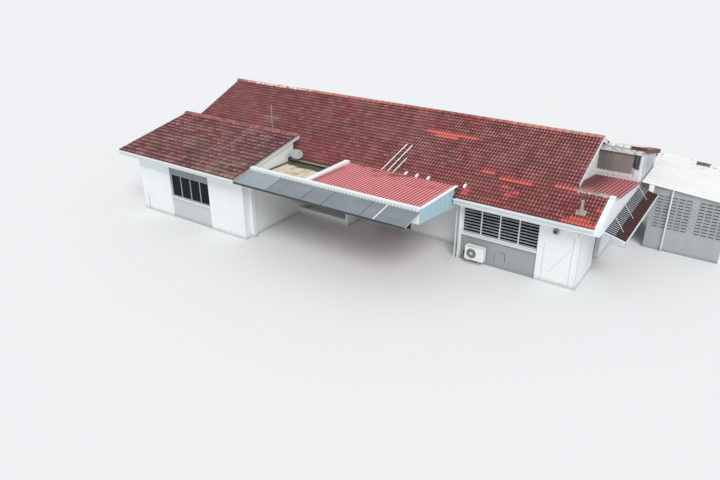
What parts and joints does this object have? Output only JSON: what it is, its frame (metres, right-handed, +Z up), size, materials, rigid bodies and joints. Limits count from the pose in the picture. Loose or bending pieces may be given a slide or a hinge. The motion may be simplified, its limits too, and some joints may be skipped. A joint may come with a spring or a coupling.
{
  "type": "bungalow",
  "caption": "Single-storey bungalow with tiled gable and lean-to roofs, recessed carport with awning, louvred window, side canopy and lean-to shed.",
  "frame": {"origin": "on the ground, under the middle of the whole building's bounding box", "axes": "+X to the right along the front, +Y to the rear, +Z up"},
  "size_m": [27.6983, 16.055, 5.6138],
  "materials": {
    "plaster": "white painted plaster",
    "concrete": "plain concrete",
    "deck_concrete": "weathered beige screed",
    "roof_tile": "dark red concrete tiles",
    "ridge_tile": "weathered ridge capping",
    "painted_board": "white paint",
    "white_metal": "white paint",
    "white_pipe": "matt",
    "red_sheet": "red coating",
    "blue_sheet": "light blue coating",
    "awning_sheet": "grey translucent sheet",
    "window_frame": "white paint",
    "window_glass": "clear",
    "louvre_glass": "grey glass",
    "door_wood": "brown varnish",
    "tile_sheet": "dark red coating",
    "shed_sheet": "white coating",
    "block": "painted ventilation blocks",
    "corrugated": "weathered corrugated sheet",
    "appliance": "white coating",
    "dish_metal": "grey coating",
    "antenna_metal": "dull"
  },
  "bodies": {
    "root": {"ac_unit": "appliance", "awning_frame": "white_metal", "awning_panels": "awning_sheet", "boxed_eaves": "painted_board", "canopy_frame": "white_metal", "carport_back_wall": "plaster", "carport_deck": "deck_concrete", "carport_front_beam": "plaster", "carport_left_wall": "plaster", "carport_metal_roof": "red_sheet", "carport_purlins": "white_metal", "carport_side_beams": "white_metal", "carport_side_cladding": "blue_sheet", "clerestory_wall": "plaster", "corrugated_panel": "corrugated", "downpipes": "white_pipe", "entrance_door": "door_wood", "extension_front_wall": "plaster", "extension_side_wall": "plaster", "fin_wall": "plaster", "floor_slab": "concrete", "gutters": "white_metal", "left_block_roof": "roof_tile", "left_front_wall": "plaster", "left_side_wall": "plaster", "louvre_blades": "louvre_glass", "louvre_frame": "window_frame", "low_metal_roof": "red_sheet", "main_roof_front": "roof_tile", "main_roof_rear": "roof_tile", "planter_kerb": "plaster", "rear_end_roof": "roof_tile", "rear_wall": "plaster", "ridge_caps": "ridge_tile", "right_block_left_wall": "plaster", "right_front_wall": "plaster", "right_gable_wall": "plaster", "right_parapet": "plaster", "right_side_lintel": "plaster", "right_side_wall_front": "plaster", "right_side_wall_rear": "plaster", "roof_pipes": "white_pipe", "satellite_dish": "dish_metal", "shed_roof": "shed_sheet", "shed_walls": "plaster", "side_canopy": "tile_sheet", "tie_rods": "white_metal", "tv_antenna": "antenna_metal", "vent_block_wall": "block", "verge_boards": "painted_board", "window_frames": "window_frame", "window_glass": "window_glass"}
  },
  "joints": []
}
